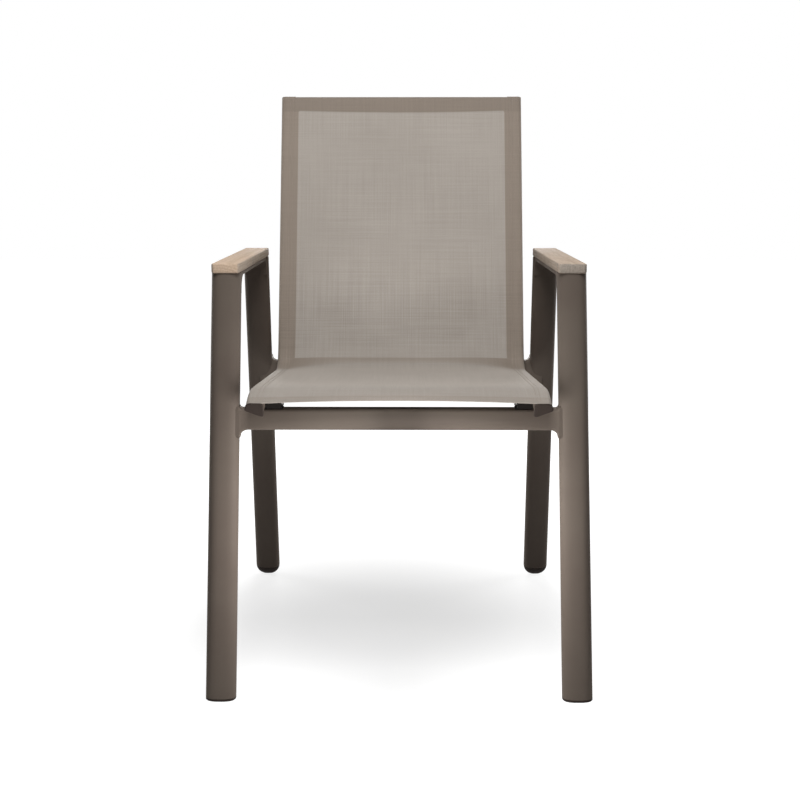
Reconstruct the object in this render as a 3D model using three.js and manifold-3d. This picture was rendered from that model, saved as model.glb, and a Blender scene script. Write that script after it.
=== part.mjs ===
// Patio armchair with a textile sling, stackable and fixed, seen as two leaning A-shaped side frames
// of oval aluminium tube, two crossbars between them, and a bent pair of rails that holds the sling.
// Wooden slats cap the side frames as armrests. Millimetres, +Z up, the chair faces -Y, and "left"
// is -X. The origin is on the floor, in the middle of the chair's box.
import * as THREE from 'three';
import { mergeVertices } from 'three/addons/utils/BufferGeometryUtils.js';
import Module from 'manifold-3d';

const wasm = await Module();
wasm.setup();

const DEGREE = Math.PI / 180;
const SIDES = { left: -1, right: 1 };

// Clearances
const fitGap = 0.3;                  // between any two pieces that touch
const cutOverrun = 2;                // how far a cutting body runs past what it cuts

// Side frames
const armHeight = 639;               // floor to the top of the armrests
const frontFootHalfSpacing = 262;    // chair centre to a front leg's axis, on the floor
const rearFootHalfSpacing = 258.2;   // and to a rear leg's
const topHalfSpacing = 237.6;        // chair centre to any leg's axis, under the armrest
const rearTopReach = 331;            // front leg's axis to the rear leg's, under the armrest
const rearFootReach = 585;           // front leg's axis to the rear leg's, on the floor
const legTopWidth = 40.6;            // oval tube, across the chair, under the armrest
const legFootWidth = 44.6;           // and on the floor: the legs swell downwards
const legDepth = 28;                 // oval tube, front to back
const legWall = 2;
const legRoundness = 2.6;            // exponent of the oval: 2 is an ellipse, more is squarer
const legOvalPoints = 32;

// Armrests and the flat bars that they are screwed to
const armrestThickness = 13;
const armrestWidth = 39;
const armrestFrontOverhang = 2;      // past the front leg's front face
const armrestRearOverhang = 2;
const armrestCornerRadius = 5;
const armrestEdgeRadius = 2;
const armBarThickness = 5.5;
const armBarWidth = 36;
const armBarEdgeRadius = 1.2;
const armBarWeldRadius = 25;         // curve between the bar's underside and each leg
const armBarWeldSteps = 7;
const armScrewShares = [0.14, 0.5, 0.86];
const armScrewShankRadius = 2.2;
const armScrewHeadRadius = 4.5;
const armScrewHeadHeight = 2.6;
const armScrewBite = 10;             // depth of the screw in the wood
const armScrewDriveRadius = 1.8;     // hexagon socket in the head
const armScrewDriveDepth = 1.5;

// Feet
const frontFootThickness = 4;
const frontFootEdge = 1.5;
const rearDomeLength = 22;           // rounded end of the rear foot, along the leg
const rearDomeFlat = 1.2;            // how much of the dome is worn flat on the floor
const footPlugLength = 22;           // the part of each foot inside its leg
const footPlugWall = 2.5;
const domeSteps = 6;

// Crossbars
const crossbarHeight = 31;
const crossbarDepth = 22;
const crossbarWall = 2;
const crossbarCornerRadius = 5;
const frontWeldRadiusBelow = 12;     // flare of the bar's underside into the leg
const frontWeldRadiusAbove = 4;
const rearWeldRadiusBelow = 12;
const rearWeldRadiusAbove = 9;
const rearCrossbarRise = 9.5;         // its top above the rails' corner
const crossbarCornerSteps = 3;
const weldSteps = 5;

// Sling rails: their top line in side view, and the aluminium section that follows it
const railSideGap = 7.8;             // between a rail and the legs, under the armrest
const railCornerHeight = 432.5;      // floor to where the seat and back lines would meet
const railCornerSetback = 21;        // from there to the rear crossbar's front face
const seatSlope = 4.5 * DEGREE;      // the seat falls toward the back
const backRecline = 18.1 * DEGREE;
const frontCurveReach = 24;          // front leg's axis to where the rails start to curve down
const backLineLength = 480.5;        // from that corner to the rails' top ends
const bendRadius = 45;
const frontCurveRadius = 125;
const frontCurveAngle = 29.7 * DEGREE;
const railWidth = 22;
const railOuterHeight = 9.8;
const railInnerHeight = 21;
const railWall = 1.8;
const railOuterTopRadius = 5;
const railInnerTopRadius = 3;
const railLowerRadius = 2;
const grooveRadius = 3.6;            // round channel for the spline
const grooveHalfMouth = 1.3;         // half of its slot, through which the sling goes in
const grooveLip = 1.8;
const railCornerSteps = 2;
const frontCurveSteps = 4;
const bendSteps = 8;

// Rail end pieces and the bar across the top
const railCapThickness = 3;
const railCapChamfer = 0.9;
const railCapFlare = 3;              // its lower outer corner stands out past the rail's side
const railTenonLength = 14;
const topBarHeight = 24;
const topBarDepth = 12;
const topBarWall = 1.6;
const topBarRise = 3.8;              // past the rails' cut ends, under the hem

// Sling
const slingThickness = 1.2;
const seatSag = 5;
const backSag = 3;
const bendBridge = 11;               // the cloth cuts the corner of the bend by this much
const bendBridgeReach = 45;          // how far along the cloth that dies away
const bendBridgeFlatness = 6;        // exponent across the chair: more keeps the cloth flatter
const frontScallop = 7;              // the front edge is cut hollow
const frontScallopReach = 70;
const hemThicknessShare = 0.8;
const hemSteps = 3;
const hemTail = 14;                  // from the top bar down to the hem's seam
const acrossShares = [0.84, 0.5, 0, -0.5, -0.84];
const seatClothSteps = 5;
const backClothSteps = 6;
const clothStepGrading = 1.5;        // exponent that draws the cloth's facets toward the bend

// Brackets and their bolts
const bracketWidth = 21.5;
const frontBracketHeight = 14;
const frontBracketDepth = 21;
const bracketRadius = 3;
const rearBracketHeight = 24;
const rearBracketOffset = 6;         // clear of the cloth at the bend
const rearBracketStart = -62 * DEGREE;
const rearBracketEnd = -38 * DEGREE;
const boltRadius = 3;
const boltHeadRadius = 5;
const boltHeadHeight = 3.5;
const boltReach = 5;                 // inside the rail's hollow
const boltDriveRadius = 2.2;
const boltDriveDepth = 2;
const roundSteps = 12;

const clothOffset = fitGap + slingThickness / 2;

// Finishes
const finishes = {
  frame: { color: 0x6d6259, roughness: 0.5, metalness: 0.3 },
  wood: { color: 0xc4aa94, roughness: 0.7, metalness: 0 },
  cloth: { color: 0x9f968e, roughness: 0.85, metalness: 0 },
  plastic: { color: 0x3f3632, roughness: 0.6, metalness: 0 },
  steel: { color: 0x8d8a86, roughness: 0.35, metalness: 0.9 },
};

const chair = new THREE.Group();
chair.name = 'sling_patio_chair';

function addPiece(name, geometry, finish) {
  const mesh = new THREE.Mesh(geometry, new THREE.MeshStandardMaterial(finishes[finish]));
  mesh.name = name;
  chair.add(mesh);
}

// Solids: joining and cutting

function toSolid(geometry) {
  const bare = geometry.clone();
  bare.deleteAttribute('normal');
  bare.deleteAttribute('uv');
  const merged = mergeVertices(bare);
  return new wasm.Manifold(new wasm.Mesh({
    numProp: 3,
    vertProperties: new Float32Array(merged.attributes.position.array),
    triVerts: new Uint32Array(merged.index.array),
  }));
}

function toGeometry(solid) {
  const mesh = solid.getMesh();
  const geometry = new THREE.BufferGeometry();
  geometry.setAttribute('position', new THREE.BufferAttribute(mesh.vertProperties, mesh.numProp));
  geometry.setIndex(new THREE.BufferAttribute(mesh.triVerts, 1));
  return geometry;
}

function cut(geometry, tools) {
  return toGeometry(tools.reduce((solid, tool) => solid.subtract(toSolid(tool)), toSolid(geometry)));
}

function join(...geometries) {
  return toGeometry(geometries.map(toSolid).reduce((sum, solid) => sum.add(solid)));
}

// Bodies skinned over rings of points

// Newell's normal of a ring, as long as twice its area
function ringNormal(ring) {
  const normal = new THREE.Vector3();
  ring.forEach((point, i) => {
    const next = ring[(i + 1) % ring.length];
    normal.x += (point.y - next.y) * (point.z + next.z);
    normal.y += (point.z - next.z) * (point.x + next.x);
    normal.z += (point.x - next.x) * (point.y + next.y);
  });
  return normal;
}

function ringCentre(ring) {
  return ring.reduce((sum, point) => sum.add(point), new THREE.Vector3()).divideScalar(ring.length);
}

// Side faces between rings of one length; a ring of one point is a pole
function sideFaces(rings, offset, flip) {
  const faces = [];
  let start = offset;
  for (let r = 0; r < rings.length - 1; r += 1) {
    const [low, high] = [rings[r].length, rings[r + 1].length];
    const count = Math.max(low, high);
    for (let i = 0; i < count; i += 1) {
      const j = (i + 1) % count;
      const [a, b] = [start + (i % low), start + (j % low)];
      const [c, d] = [start + low + (i % high), start + low + (j % high)];
      if (low > 1) faces.push(flip ? [a, c, b] : [a, b, c]);
      if (high > 1) faces.push(flip ? [b, c, d] : [b, d, c]);
    }
    start += low;
  }
  return faces;
}

// A flat end face, with the ends of the holes cut out of it
function endFaces(loops, offsets, outward) {
  const normal = ringNormal(loops[0]).normalize();
  const across = loops[0][1].clone().sub(loops[0][0]).normalize();
  const up = normal.clone().cross(across);
  const flat = loops.map((loop) => loop.map((p) => new THREE.Vector2(p.dot(across), p.dot(up))));
  const index = loops.flatMap((loop, k) => loop.map((_, i) => offsets[k] + i));
  const points = loops.flat();
  return THREE.ShapeUtils.triangulateShape(flat[0], flat.slice(1)).map(([a, b, c]) => {
    const side = points[b].clone().sub(points[a]).cross(points[c].clone().sub(points[a]));
    const face = [index[a], index[b], index[c]];
    return side.dot(outward) > 0 ? face : face.reverse();
  });
}

// The end face of a strip's outline, whose points lie in pairs across its thickness
function stripEndFaces(loop, offset, outward) {
  const faces = [];
  for (let i = 0; i < loop.length / 2 - 1; i += 1) {
    const j = loop.length - 1 - i;
    faces.push([i, i + 1, j], [i + 1, j - 1, j]);
  }
  const [a, b, c] = faces[0].map((i) => loop[i]);
  const inward = b.clone().sub(a).cross(c.clone().sub(a)).dot(outward) < 0;
  return faces.map((face) => (inward ? face.reverse() : face).map((i) => offset + i));
}

// Six times the volume inside the faces, negative if they face inward
function enclosedVolume(points, faces) {
  return faces.reduce((sum, [a, b, c]) => (
    sum + points[a].dot(points[b].clone().cross(points[c]))), 0);
}

// A closed body through the outer rings, hollow along each list of hole rings
function skin(outer, holes = [], strip = false) {
  const tubes = [outer, ...holes];
  const whole = outer.findIndex((ring) => ring.length > 1);
  const advance = ringCentre(outer[whole + 1]).sub(ringCentre(outer[whole]));
  const points = [];
  const faces = [];
  const starts = [];
  const ends = [];
  tubes.forEach((rings, k) => {
    const turnsRight = ringNormal(rings[whole]).dot(advance) < 0;
    starts.push(points.length);
    faces.push(...sideFaces(rings, points.length, k === 0 ? turnsRight : !turnsRight));
    rings.forEach((ring) => points.push(...ring));
    ends.push(points.length - rings[rings.length - 1].length);
  });
  const first = tubes.map((rings) => rings[0]);
  const last = tubes.map((rings) => rings[rings.length - 1]);
  const close = (loops, offsets, outward) => (strip
    ? stripEndFaces(loops[0], offsets[0], outward)
    : endFaces(loops, offsets, outward));
  if (outer[0].length > 1) faces.push(...close(first, starts, advance.clone().negate()));
  if (last[0].length > 1) {
    const leaving = ringCentre(last[0]).sub(ringCentre(outer[outer.length - 2]));
    faces.push(...close(last, ends, leaving));
  }
  const outward = enclosedVolume(points, faces) > 0;
  const geometry = new THREE.BufferGeometry();
  geometry.setAttribute('position', new THREE.Float32BufferAttribute(points.flatMap((p) => [p.x, p.y, p.z]), 3));
  geometry.setIndex(faces.flatMap((face) => (outward ? face : face.reverse())));
  return geometry;
}

// Outlines

// Corners given as [x, y, radius]; an open line keeps its two ends as they are
function roundCorners(corners, steps, open = false) {
  return corners.flatMap(([x, y, radius], i) => {
    const point = new THREE.Vector2(x, y);
    if (radius === 0 || (open && (i === 0 || i === corners.length - 1))) return [point];
    const [px, py] = corners[(i + corners.length - 1) % corners.length];
    const [nx, ny] = corners[(i + 1) % corners.length];
    const back = new THREE.Vector2(px, py).sub(point).normalize();
    const ahead = new THREE.Vector2(nx, ny).sub(point).normalize();
    const half = Math.acos(back.dot(ahead)) / 2;
    const centre = back.clone().add(ahead).normalize().multiplyScalar(radius / Math.sin(half)).add(point);
    const first = back.clone().multiplyScalar(radius / Math.tan(half)).add(point).sub(centre);
    const sweep = (Math.PI - 2 * half) * Math.sign(ahead.cross(back));
    return Array.from({ length: steps + 1 }, (_, k) => first.clone()
      .rotateAround(new THREE.Vector2(), (sweep * k) / steps).add(centre));
  });
}

// A thin strip of even thickness along an open line of points, as a closed outline
function stripOutline(line, thickness) {
  const offsets = line.map((point, i) => {
    const before = line[Math.max(i - 1, 0)];
    const after = line[Math.min(i + 1, line.length - 1)];
    const incoming = (i > 0 ? point.clone().sub(before) : after.clone().sub(point)).normalize();
    const outgoing = (i < line.length - 1 ? after.clone().sub(point) : incoming.clone()).normalize();
    const mitre = incoming.clone().add(outgoing).normalize();
    const reach = thickness / 2 / mitre.dot(incoming);
    return new THREE.Vector2(-mitre.y, mitre.x).multiplyScalar(reach);
  });
  const one = line.map((point, i) => point.clone().add(offsets[i]));
  const other = line.map((point, i) => point.clone().sub(offsets[i]));
  return [...one, ...other.reverse()];
}

function ovalOutline(halfWidth, halfDepth) {
  const power = 2 / legRoundness;
  return Array.from({ length: legOvalPoints }, (_, i) => {
    const angle = (2 * Math.PI * i) / legOvalPoints;
    const [c, s] = [Math.cos(angle), Math.sin(angle)];
    return new THREE.Vector2(
      halfWidth * Math.sign(c) * Math.abs(c) ** power,
      halfDepth * Math.sign(s) * Math.abs(s) ** power,
    );
  });
}

function circleOutline(radius, steps = roundSteps) {
  return Array.from({ length: steps }, (_, i) => new THREE.Vector2(radius, 0)
    .rotateAround(new THREE.Vector2(), (2 * Math.PI * i) / steps));
}

// A straight bar of one outline between two points; "up" is where the outline's y points
function bar(outline, from, to, up, holes = []) {
  const along = to.clone().sub(from).normalize();
  const across = up.clone().cross(along).normalize();
  const rise = along.clone().cross(across);
  const place = (loop, end) => loop.map((p) => end.clone()
    .addScaledVector(across, p.x).addScaledVector(rise, p.y));
  return skin([place(outline, from), place(outline, to)],
    holes.map((hole) => [place(hole, from), place(hole, to)]));
}

function block(low, high) {
  const geometry = new THREE.BoxGeometry(high.x - low.x, high.y - low.y, high.z - low.z);
  return geometry.translate((low.x + high.x) / 2, (low.y + high.y) / 2, (low.z + high.z) / 2);
}

// Legs

const legTop = armHeight - armrestThickness - fitGap;
const floorPlane = { point: new THREE.Vector3(), normal: new THREE.Vector3(0, 0, 1) };

// The straight axis of a leg, from the floor up, with the two directions of its oval
function legAxis(side, rear) {
  const foot = rear
    ? new THREE.Vector3(side * rearFootHalfSpacing, rearFootReach, 0)
    : new THREE.Vector3(side * frontFootHalfSpacing, 0, 0);
  const top = new THREE.Vector3(side * topHalfSpacing, rear ? rearTopReach : 0, legTop);
  const along = top.clone().sub(foot).normalize();
  const across = new THREE.Vector3(1, 0, 0).addScaledVector(along, -along.x).normalize();
  const back = along.clone().cross(across);
  const at = (height) => foot.clone().lerp(top, height / legTop);
  return { along, across, back, at };
}

// A leg's width at a height
const legWidthAt = (height) => legFootWidth + ((legTopWidth - legFootWidth) * height) / legTop;

// The oval around a leg's axis where a plane cuts the straight lines from its foot's oval to its top's
function legRing(axis, inset, plane, growth = 0) {
  const [foot, top] = [0, legTop].map((height) => (
    ovalOutline(legWidthAt(height) / 2 - inset + growth, legDepth / 2 - inset + growth).map((p) => (
      axis.at(height).addScaledVector(axis.across, p.x).addScaledVector(axis.back, p.y)))));
  return foot.map((point, i) => {
    const line = top[i].clone().sub(point);
    const travel = plane.point.clone().sub(point).dot(plane.normal) / line.dot(plane.normal);
    return point.clone().addScaledVector(line, travel);
  });
}

const level = (height) => ({ point: new THREE.Vector3(0, 0, height), normal: floorPlane.normal });
const square = (axis, point) => ({ point, normal: axis.along });

// Height of the dome's root, so that its lowest part is cut flat by the floor
function domeRoot(axis) {
  const lowest = Math.hypot(
    (legFootWidth / 2) * axis.across.z,
    (legDepth / 2) * axis.back.z,
    rearDomeLength * axis.along.z,
  );
  return axis.at(lowest - rearDomeFlat);
}

function legBottom(axis, rear) {
  if (!rear) return level(frontFootThickness + fitGap);
  return square(axis, domeRoot(axis).addScaledVector(axis.along, fitGap));
}

function leg(side, rear) {
  const axis = legAxis(side, rear);
  const planes = [legBottom(axis, rear), level(legTop)];
  return skin(planes.map((plane) => legRing(axis, 0, plane)),
    [planes.map((plane) => legRing(axis, legWall, plane))]);
}

// A leg's outside made a fit gap larger, to cope what is welded against it
function legTool(side, rear) {
  const axis = legAxis(side, rear);
  return skin([level(-cutOverrun), level(armHeight)].map((plane) => legRing(axis, 0, plane, fitGap)));
}

// Feet: a hollow plug inside the leg, with a flat glide in front and a dome at the rear
function plugRings(axis, root, topPlane) {
  const plugInset = legWall + fitGap;
  const bore = plugInset + footPlugWall;
  const floor = legRing(axis, bore, root);
  return [
    [ringCentre(floor)],
    floor,
    legRing(axis, bore, topPlane),
    legRing(axis, plugInset, topPlane),
    legRing(axis, plugInset, root),
  ];
}

function frontFoot(side) {
  const axis = legAxis(side, false);
  const base = legRing(axis, frontFootEdge, floorPlane);
  return skin([
    ...plugRings(axis, level(frontFootThickness), level(frontFootThickness + footPlugLength)),
    legRing(axis, 0, level(frontFootThickness)),
    legRing(axis, 0, level(frontFootEdge)),
    base,
    [ringCentre(base)],
  ]);
}

function rearFoot(side) {
  const axis = legAxis(side, true);
  const root = domeRoot(axis);
  const top = root.clone().addScaledVector(axis.along, footPlugLength);
  const outline = legRing(axis, 0, square(axis, root));
  const dome = Array.from({ length: domeSteps }, (_, k) => {
    const angle = (Math.PI / 2) * (k / domeSteps);
    return outline.map((p) => root.clone().lerp(p, Math.cos(angle))
      .addScaledVector(axis.along, -rearDomeLength * Math.sin(angle)));
  });
  const tip = root.clone().addScaledVector(axis.along, -rearDomeLength);
  const body = skin([...plugRings(axis, square(axis, root), square(axis, top)), ...dome, [tip]]);
  const under = new THREE.Vector3(legFootWidth, legFootWidth, 0);
  return cut(body, [block(
    axis.at(0).sub(under).setZ(-rearDomeLength),
    axis.at(0).add(under),
  )]);
}

// Crossbars: a flat tube whose ends flare into the legs and are coped to them

function crossbar(rear, top) {
  const middle = top - crossbarHeight / 2;
  const [above, below] = rear
    ? [rearWeldRadiusAbove, rearWeldRadiusBelow]
    : [frontWeldRadiusAbove, frontWeldRadiusBelow];
  const axis = legAxis(1, rear);
  const centre = axis.at(middle);
  const reach = centre.x - legWidthAt(middle) / 2;
  const flareStart = reach - Math.max(above, below);
  const flare = (distance, radius) => {
    const inside = Math.max(radius - Math.max(distance, 0), 0);
    return radius - Math.sqrt(radius ** 2 - inside ** 2);
  };
  const steps = Array.from({ length: weldSteps + 1 }, (_, k) => {
    const angle = (Math.PI / 2) * (k / weldSteps);
    return flareStart + Math.max(above, below) * Math.sin(angle) ** 2;
  });
  const stations = [...steps, centre.x];
  const section = (x, inset, flared) => {
    const distance = reach - Math.abs(x);
    const high = top - inset + (flared ? flare(distance, above) : 0);
    const low = top - crossbarHeight + inset - (flared ? flare(distance, below) : 0);
    const half = crossbarDepth / 2 - inset;
    const radius = crossbarCornerRadius - inset;
    return roundCorners([
      [centre.y - half, low, radius], [centre.y + half, low, radius],
      [centre.y + half, high, radius], [centre.y - half, high, radius],
    ], crossbarCornerSteps).map((p) => new THREE.Vector3(x, p.x, p.y));
  };
  const xs = [...stations.map((x) => -x).reverse(), ...stations];
  const body = skin(xs.map((x) => section(x, 0, true)),
    [[-centre.x, centre.x].map((x) => section(x, crossbarWall, false))]);
  return cut(body, [legTool(-1, rear), legTool(1, rear)]);
}

// Arm bars and armrests

// Where the rear leg's front face is at a height, along the chair
const rearFaceReach = (height) => {
  const axis = legAxis(1, true);
  return axis.at(height).y - legDepth / 2 / axis.along.z;
};

const armBarSpan = [legDepth / 2, rearFaceReach(legTop)];
const armScrewPlaces = armScrewShares.map((share) => (
  armBarSpan[0] + share * (armBarSpan[1] - armBarSpan[0])));

function armBar(side) {
  const low = legTop - armBarThickness;
  const deep = low - armBarWeldRadius;
  const rear = rearFaceReach(low);
  const deepRear = rearFaceReach(deep) + legDepth / 2;
  const outline = roundCorners([
    [0, legTop, 0], [rearTopReach, legTop, 0],
    [deepRear, deep, 0], [rearFaceReach(deep), deep, 0],
    [rear, low, armBarWeldRadius],
    [legDepth / 2, low, armBarWeldRadius],
    [legDepth / 2, deep, 0], [0, deep, 0],
  ], armBarWeldSteps);
  const shape = new THREE.Shape(outline);
  const body = new THREE.ExtrudeGeometry(shape, {
    depth: armBarWidth - 2 * armBarEdgeRadius,
    bevelThickness: armBarEdgeRadius,
    bevelSize: armBarEdgeRadius,
    bevelOffset: -armBarEdgeRadius,
    bevelSegments: 2,
  });
  body.translate(0, 0, armBarEdgeRadius - armBarWidth / 2);
  const basis = new THREE.Matrix4().makeBasis(
    new THREE.Vector3(0, 1, 0), new THREE.Vector3(0, 0, 1), new THREE.Vector3(1, 0, 0));
  body.applyMatrix4(basis).translate(side * topHalfSpacing, 0, 0);
  const holes = armScrewPlaces.map((reach) => screwHole(side, reach, deep, legTop + cutOverrun));
  return cut(body, [legTool(side, false), legTool(side, true), ...holes]);
}

function screwHole(side, reach, low, high) {
  const from = new THREE.Vector3(side * topHalfSpacing, reach, low);
  return bar(circleOutline(armScrewShankRadius + fitGap), from, from.clone().setZ(high),
    new THREE.Vector3(0, 1, 0));
}

function armrest(side) {
  const front = -legDepth / 2 - armrestFrontOverhang;
  const rear = rearTopReach + (rearTopReach - rearFaceReach(legTop)) + armrestRearOverhang;
  const half = armrestWidth / 2;
  const corners = [[-half, front], [half, front], [half, rear], [-half, rear]];
  const shape = new THREE.Shape(roundCorners(corners.map((c) => [...c, armrestCornerRadius]), 5));
  const slat = new THREE.ExtrudeGeometry(shape, {
    depth: armrestThickness - 2 * armrestEdgeRadius,
    bevelThickness: armrestEdgeRadius,
    bevelSize: armrestEdgeRadius,
    bevelOffset: -armrestEdgeRadius,
    bevelSegments: 3,
  });
  slat.translate(side * topHalfSpacing, 0, armHeight - armrestThickness + armrestEdgeRadius);
  const depth = legTop + fitGap + armScrewBite + fitGap;
  return cut(slat, armScrewPlaces.map((reach) => screwHole(side, reach, legTop - cutOverrun, depth)));
}

// A button-headed screw with a hexagon socket, drawn from its head's top along its shank
function screw(head, along, headRadius, headHeight, shankRadius, length, driveRadius, driveDepth) {
  const up = Math.abs(along.z) > Math.abs(along.x) ? new THREE.Vector3(0, 1, 0) : new THREE.Vector3(0, 0, 1);
  const at = (distance) => head.clone().addScaledVector(along, distance);
  const across = up.clone().cross(along).normalize();
  const ring = (radius, distance, steps = roundSteps) => circleOutline(radius, steps)
    .map((p) => at(distance).addScaledVector(across, p.x).addScaledVector(up, p.y));
  const body = skin([
    [at(0)],
    ring(headRadius * Math.SQRT1_2, 0),
    ring(headRadius, headHeight / 2),
    ring(headRadius, headHeight),
    ring(shankRadius, headHeight),
    ring(shankRadius, headHeight + length),
    [at(headHeight + length)],
  ]);
  const hexagon = skin([ring(driveRadius, -driveDepth, 6), ring(driveRadius, driveDepth, 6)]);
  return cut(body, [hexagon]);
}

// Sling rails

const railOuterHalf = topHalfSpacing - legTopWidth / 2 - railSideGap;
const rearCrossbarTop = railCornerHeight + rearCrossbarRise;
const rearCrossbarFace = legAxis(1, true).at(rearCrossbarTop - crossbarHeight / 2).y - crossbarDepth / 2;

// The rails' top line in side view, measured from its front end: where it is and which way it faces
const railPath = (() => {
  const sweep = Math.PI / 2 + seatSlope - backRecline;
  const tangent = bendRadius * Math.tan(sweep / 2);
  const corner = new THREE.Vector2(rearCrossbarFace - railCornerSetback, railCornerHeight);
  const forward = new THREE.Vector2(-Math.cos(seatSlope), Math.sin(seatSlope));
  const upward = new THREE.Vector2(Math.sin(seatSlope), Math.cos(seatSlope));
  const bendStart = corner.clone().addScaledVector(forward, tangent);
  const seatLineLength = (corner.x - frontCurveReach) / Math.cos(seatSlope);
  const curveStart = corner.clone().addScaledVector(forward, seatLineLength);
  const frontArc = frontCurveRadius * frontCurveAngle;
  const seat = seatLineLength - tangent;
  const bend = bendRadius * sweep;
  const back = backLineLength - tangent;
  const curveCentre = curveStart.clone().addScaledVector(upward, -frontCurveRadius);
  const bendCentre = bendStart.clone().addScaledVector(upward, bendRadius);
  const turned = (vector, angle) => vector.clone().rotateAround(new THREE.Vector2(), angle);
  const at = (distance) => {
    if (distance < frontArc) {
      const facing = turned(upward, (frontArc - distance) / frontCurveRadius);
      return { point: curveCentre.clone().addScaledVector(facing, frontCurveRadius), facing };
    }
    if (distance < frontArc + seat) {
      const point = curveStart.clone().addScaledVector(forward, frontArc - distance);
      return { point, facing: upward.clone() };
    }
    const turn = Math.min((distance - frontArc - seat) / bendRadius, sweep);
    const facing = turned(upward, turn);
    const point = bendCentre.clone().addScaledVector(facing, -bendRadius);
    const past = Math.max(distance - frontArc - seat - bend, 0);
    return { point: point.addScaledVector(new THREE.Vector2(facing.y, -facing.x), past), facing };
  };
  return { at, frontArc, seat, bend, back, sweep, bendCentre, length: frontArc + seat + bend + back };
})();

const bendBegins = railPath.frontArc + railPath.seat;
const bendEnds = bendBegins + railPath.bend;
const steps = (from, to, count) => Array.from({ length: count }, (_, k) => from + ((to - from) * k) / count);

// A point of a rail section: x across the chair, y above the top line, at a distance along it
function onPath(distance, x, y) {
  const { point, facing } = railPath.at(distance);
  return new THREE.Vector3(x, point.x + facing.x * y, point.y + facing.y * y);
}

const railStations = [
  ...steps(0, railPath.frontArc, frontCurveSteps),
  railPath.frontArc,
  ...steps(bendBegins, bendEnds, bendSteps),
  bendEnds,
  railPath.length,
];

const railInnerHalf = railOuterHalf - railWidth;
const undersideSlope = (railInnerHeight - railOuterHeight) / railWidth;
const undersideTilt = Math.cos(Math.atan(undersideSlope));
const underside = (x) => -railOuterHeight - (railOuterHalf - x) * undersideSlope;
const grooveX = railOuterHalf - railWall - grooveRadius;
const grooveThroat = Math.sqrt(grooveRadius ** 2 - grooveHalfMouth ** 2);
const grooveY = underside(grooveX) + grooveLip + grooveThroat;
const splineRadius = grooveRadius - fitGap;

// The rail's corners, on its top and outside and then on its underside; the outside may flare
function railCorners(grow = 0, flare = 0) {
  return {
    top: [[railInnerHalf - grow, grow, railInnerTopRadius + grow],
      [railOuterHalf + grow, grow, railOuterTopRadius + grow],
      [railOuterHalf + grow + flare, -railOuterHeight + (grow * undersideSlope - grow / undersideTilt),
        railLowerRadius + grow]],
    bottom: [[railInnerHalf - grow, -railInnerHeight - (grow * undersideSlope + grow / undersideTilt),
      railLowerRadius + grow]],
  };
}

// The rail's outline, with the keyhole groove in its underside
function railOutline() {
  const { top, bottom } = railCorners();
  const mouth = Math.asin(grooveHalfMouth / grooveRadius);
  const channel = Array.from({ length: roundSteps + 1 }, (_, k) => {
    const angle = -Math.PI / 2 + mouth + ((2 * Math.PI - 2 * mouth) * k) / roundSteps;
    return [grooveX + grooveRadius * Math.cos(angle), grooveY + grooveRadius * Math.sin(angle), 0];
  });
  const lip = (x) => [x, underside(x), 0];
  return roundCorners([
    ...top, lip(grooveX + grooveHalfMouth), ...channel, lip(grooveX - grooveHalfMouth), ...bottom,
  ], railCornerSteps);
}

const plainRailOutline = (grow, flare) => {
  const { top, bottom } = railCorners(grow, flare);
  return roundCorners([...top, ...bottom], railCornerSteps);
};

// The rail's closed chamber, inboard of the groove
function chamberOutline(inset) {
  const left = railInnerHalf + inset;
  const right = grooveX - grooveRadius - inset;
  const drop = inset / undersideTilt;
  return [[left, -inset], [right, -inset], [right, underside(right) + drop], [left, underside(left) + drop]]
    .map(([x, y]) => new THREE.Vector2(x, y));
}

const sweep = (outline, side, stations) => stations.map((distance) => (
  outline.map((p) => onPath(distance, side * p.x, p.y))));

function boltAxis(rear) {
  if (!rear) {
    const base = frontCrossbarTop + fitGap;
    return { y: 0, z: base + frontBracketHeight / 2 };
  }
  const angle = (rearBracketStart + rearBracketEnd) / 2;
  const radius = bendRadius + railInnerHeight / 2;
  return {
    y: railPath.bendCentre.x + radius * Math.cos(angle),
    z: railPath.bendCentre.y + radius * Math.sin(angle),
  };
}

function boltHole(side, rear) {
  const { y, z } = boltAxis(rear);
  const from = new THREE.Vector3(side * (railInnerHalf - bracketWidth - cutOverrun), y, z);
  const to = from.clone().setX(side * (railInnerHalf + boltReach));
  return bar(circleOutline(boltRadius + fitGap), from, to, new THREE.Vector3(0, 0, 1));
}

function slingRail(side) {
  const body = skin(sweep(railOutline(), side, railStations),
    [sweep(chamberOutline(railWall), side, railStations)]);
  return cut(body, [boltHole(side, false), boltHole(side, true)]);
}

function spline(side) {
  const outline = circleOutline(splineRadius, 10)
    .map((p) => p.add(new THREE.Vector2(grooveX, grooveY)));
  return skin(sweep(outline, side, railStations));
}

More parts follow.
